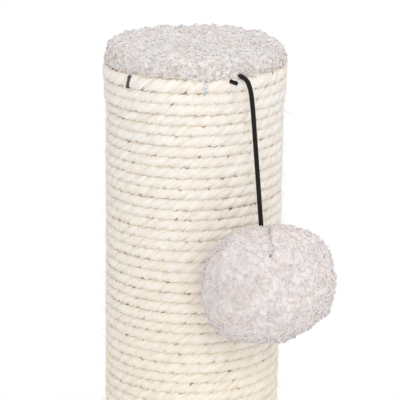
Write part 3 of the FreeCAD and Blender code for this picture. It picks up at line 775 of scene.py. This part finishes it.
top_knot = elastic_knot("elastic_knot_top", "toy_cord_knot_top")
ball_knot = elastic_knot("elastic_knot_in_ball", "toy_cord_knot_bottom")
low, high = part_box("toy_cord_tail")
TAIL = 0.0042                                           # the length that shows
tail = straight_elastic("elastic_tail", TAIL)
tail_way = Vector((high.x - low.x - CORD / 2, high.y - low.y - CORD / 2, low.z - high.z + CORD / 2))
tail.rotation_mode = "QUATERNION"
tail.rotation_quaternion = tail_way.to_track_quat("X", "Z")
tail.location = (low + high) / 2 - tail_way.normalized() * (TAIL / 2)
tail.scale = (1, 0.85, 0.85)
settle(tail)
knot_low, knot_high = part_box("toy_cord_knot_bottom")
knot_middle = (knot_low + knot_high) / 2

on_body(tail, "post", "elastic", elastic_finish, "toy_cord_tail")
on_body(top_knot, "cord_anchor", "elastic", elastic_finish, "toy_cord_knot_top")
on_body(ball_knot, "cord_end", "elastic", elastic_finish, "toy_cord_knot_bottom")
cord.data.materials.clear()
cord.data.materials.append(elastic_finish)
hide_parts("toy_cord")
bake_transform(cord)


# Ball: polyester fibre in a skin of the same curly plush, gathered and sewn round the elastic at the top.
# The skin is cut as two halves, and their short seam shows as a crease beside the elastic, with painted shade
# along it.

low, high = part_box("toy_ball_cover")
ball_middle = (low + high) / 2
ball_axis = (knot_middle - ball_middle).normalized()
WIDE, DEEP = 0.0312, 0.0276                             # across the ball's axis, and along it
SHOULDER_RISE, SHOULDER_PLACE, SHOULDER_REACH = 0.035, 0.62, 0.4    # in radii, above and below its middle


def flat_ball(name, wide, deep, level):
    """A ball flattened along its axis, which leans as the elastic pulls it."""
    start()
    bpy.ops.mesh.primitive_ico_sphere_add(subdivisions=level, radius=1)
    ball = fresh(name)
    points = points_of(ball)
    from_shoulder = np.abs(np.abs(points[:, 2]) - SHOULDER_PLACE)
    fuller = 1 + SHOULDER_RISE * np.clip(1 - from_shoulder / SHOULDER_REACH, 0, 1)
    points *= fuller[:, None] * np.array([wide, wide, deep])
    move_points(ball, points)
    ball.rotation_mode = "QUATERNION"
    ball.rotation_quaternion = ball_axis.to_track_quat("Z", "Y")
    ball.location = ball_middle
    settle(ball)
    return ball


INSIDE, LOOSE = 0.0022, 0.0004                          # the filling's room in the skin, and the skin's slack
filling = flat_ball("ball_filling", WIDE - INSIDE, DEEP - INSIDE, level=5)
apply(filling, "DISPLACE", texture=clouds("filling_lumps", 0.008), strength=0.002, mid_level=1.0)
bpy.ops.object.shade_smooth()
on_body(filling, "ball", "filling", wadding_finish, "toy_ball_filling")

skin = flat_ball("ball_plush", WIDE + LOOSE, DEEP + LOOSE, level=7)
points = points_of(skin)
out = points - np.array(ball_middle)
ways = out / np.linalg.norm(out, axis=1)[:, None]
from_pole = np.degrees(np.arccos(np.clip(ways @ np.array(ball_axis), -1, 1)))
DIMPLE, DIMPLE_ANGLE, BULGE_ANGLE = 0.0012, 9, 27       # the elastic draws a dimple into the top
points -= ways * (DIMPLE * np.exp(-(from_pole / DIMPLE_ANGLE) ** 2))[:, None]
BULGES = (((-0.78, -0.35, -0.52), 0.0018), ((0.66, -0.25, 0.71), 0.0020), ((-0.66, -0.2, 0.72), 0.0017),
          ((0.7, -0.2, -0.7), -0.0010))                 # where the filling makes it uneven, and how much
for bulge_way, rise in BULGES:
    apart = np.degrees(np.arccos(np.clip(ways @ (np.array(bulge_way) / np.linalg.norm(bulge_way)), -1, 1)))
    points += ways * (rise * np.exp(-(apart / BULGE_ANGLE) ** 2))[:, None]
move_points(skin, points)
SEAM_FOOT, SEAM_TOP = 12, 100                           # degrees up the ball's front, from its middle
SEAM_LEFT, SEAM_SWAY, SEAM_BACK = 0.0006, 0.0004, 0.006     # left of the middle, to either side, and back


def beside_seam(points):
    """How far each point is from the seam, and 1 along the seam's length, falling to 0 at its ends."""
    out = points - np.array(ball_middle)
    climb = np.degrees(np.arctan2(out[:, 2], -out[:, 1]))
    along = np.clip((climb - SEAM_FOOT) / 30, 0, 1) * np.clip((SEAM_TOP - climb) / 8, 0, 1)
    return np.abs(out[:, 0] + SEAM_LEFT - SEAM_SWAY * np.sin(climb * 0.16)), along * (out[:, 1] < SEAM_BACK)


apply(skin, "DISPLACE", texture=clouds("ball_lumps", 0.008), strength=0.0032, mid_level=0.5)
apply(skin, "DISPLACE", texture=clouds("ball_tufts", 0.0026), strength=0.0014, mid_level=0.5)
CREASE_WIDTH, CREASE_DEPTH = 0.0010, 0.0013
points = points_of(skin)
aside, along_seam = beside_seam(points)
drawn_in = np.exp(-(aside / CREASE_WIDTH) ** 2) * along_seam
out = points - np.array(ball_middle)
points -= out / np.linalg.norm(out, axis=1)[:, None] * (CREASE_DEPTH * drawn_in)[:, None]
move_points(skin, points)
crease = skin.data.attributes.new("crease", "FLOAT", "POINT")
crease.data.foreach_set("value", drawn_in.astype(np.float32))
apply(skin, "SOLIDIFY", thickness=0.0016, offset=-1)
bpy.ops.object.shade_smooth()
# painted shade: a dark warm colour along the crease, broken up by noise
creased = put(plush, "Attribute", attribute_name="crease").outputs["Fac"]
crease_shade_breaks = between(plush, noise(plush, own_place(plush), 330, 2), 0.46, 0.54)
pile_colour = plush.node_tree.nodes["pile_colour"].outputs[2]
crease_painted_shade = mixed(plush, times(plush, creased, crease_shade_breaks), pile_colour, (0.30, 0.21, 0.18, 1))
feed(plush, crease_painted_shade, "Base Color")
on_body(skin, "ball", "plush", plush, "toy_ball_cover")


def ball_pile_place(points, ways):
    """On the skin's outside, and clear of the seam."""
    out = points - np.array(ball_middle)
    aside, along_seam = beside_seam(points)
    return ((ways * out).sum(axis=1) > 0) & ((aside > 0.00105) | (along_seam < 0.4))


spots, ways = spots_on(skin, gap=0.0013, seed=21, keep=ball_pile_place)
in_front = spots[:, 1] < ball_middle.y
for name, chosen in (("ball_curls_front", in_front), ("ball_curls_back", ~in_front)):
    pile = sew_on(name, curls, spots[chosen], ways[chosen], seed=22, least=0.75, most=1.3, sink=0.0006)
    on_body(pile, "ball", "plush", plush)
clear_away(flat_curl, *curls)


# Studio: a pale floor under the post, soft lamps, and the camera at the photograph's height and distance.
# Further out the floor is white to the camera alone, and the sky is soft light that the camera sees as white.

start()
bpy.ops.mesh.primitive_plane_add(size=6, location=(0, 0, 0))
floor = fresh("studio_floor")
floor_finish = finish_for("studio_floor", (0.90, 0.90, 0.90), 0.9, Specular_IOR_Level=0.1)
seen = put(floor_finish, "LightPath").outputs["Is Camera Ray"]
floor_place = put(floor_finish, "TexCoord").outputs["Object"]
away = put(floor_finish, "VectorMath", {0: floor_place}, operation="LENGTH").outputs["Value"]
fade = put(floor_finish, "MapRange", {"Value": away, "From Min": 0.25, "From Max": 0.6},
           interpolation_type="SMOOTHSTEP").outputs["Result"]
share = times(floor_finish, seen, fade)
glow = put(floor_finish, "Emission", {"Color": (1, 1, 1, 1), "Strength": 1.0}).outputs[0]
plain = floor_finish.node_tree.nodes["Principled BSDF"].outputs[0]
blended = put(floor_finish, "MixShader", {0: share, 1: plain, 2: glow}).outputs[0]
floor_finish.node_tree.links.new(blended, floor_finish.node_tree.nodes["Material Output"].inputs["Surface"])
floor.data.materials.append(floor_finish)

world = bpy.data.worlds.new("studio")
bpy.context.scene.world = world
world.use_nodes = True
world.node_tree.nodes.clear()
rays = put(world, "LightPath").outputs
soft = put(world, "Background", {"Color": (0.97, 0.98, 1, 1), "Strength": 0.82}).outputs[0]
white = put(world, "Background", {"Color": (1, 1, 1, 1)}).outputs[0]
seen_or_mirrored = {0: rays["Is Camera Ray"], 1: rays["Is Glossy Ray"]}
mirrored = put(world, "Math", seen_or_mirrored, operation="MAXIMUM").outputs[0]
straight = put(world, "Math", {0: mirrored, 1: rays["Is Transmission Ray"]}, operation="MAXIMUM").outputs[0]
shown = put(world, "MixShader", {0: straight, 1: soft, 2: white}).outputs[0]
put(world, "OutputWorld", {"Surface": shown})


def softbox(name, place, size, power):
    """A round soft lamp that is turned to the post."""
    lamp = bpy.data.lights.new(name, "AREA")
    lamp.shape = "DISK"
    lamp.size = size
    lamp.energy = power
    box = bpy.data.objects.new(name, lamp)
    box.location = place
    box.rotation_euler = (Vector((0, 0, 0.3)) - Vector(place)).to_track_quat("-Z", "Y").to_euler()
    bpy.context.scene.collection.objects.link(box)


softbox("front_softbox", (0.1, -1.6, 1.1), 0.9, 9.6)
softbox("right_softbox", (1.2, -0.9, 0.9), 0.9, 2)
softbox("left_softbox", (-1.3, -0.8, 0.8), 0.9, 0.5)
softbox("top_softbox", (0, 0.4, 1.6), 1.2, 4)

lens = bpy.data.cameras.new("camera")
lens.sensor_width = 36
lens.lens = 191.8
camera = bpy.data.objects.new("camera", lens)
camera.location = (0.00326, -1.0498, 0.6172)
camera.rotation_mode = "ZYX"
camera.rotation_euler = (math.radians(90 - 15.87), 0, math.radians(0.74))
bpy.context.scene.collection.objects.link(camera)
bpy.context.scene.camera = camera
bpy.context.scene.view_settings.view_transform = "Standard"
